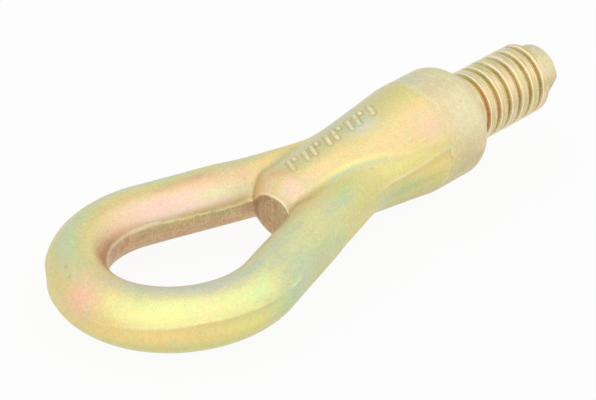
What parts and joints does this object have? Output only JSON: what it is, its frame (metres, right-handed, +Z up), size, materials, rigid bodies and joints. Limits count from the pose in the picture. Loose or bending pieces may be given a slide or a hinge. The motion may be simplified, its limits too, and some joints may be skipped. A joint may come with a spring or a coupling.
{
  "type": "tow eye",
  "caption": "Forged steel screw-in tow eye with a teardrop loop, a turned collar and a coarse left-hand threaded shank.",
  "frame": {"origin": "on the floor, under the middle of the tow eye's bounding box as it lies at rest", "axes": "+X from the loop towards the shank's tip, level with the floor; +Y across the loop; +Z up. The shank's own axis rises 4.18 degrees from +X, because the eye rests on the skin behind its collar and on the end of its loop"},
  "size_m": [0.167, 0.0646, 0.0319],
  "materials": {
    "plated_steel": "yellow passivated zinc plating with a faint rainbow film, over a forged skin and turned faces"
  },
  "bodies": {
    "root": {"tow_eye": "plated_steel"}
  },
  "joints": []
}
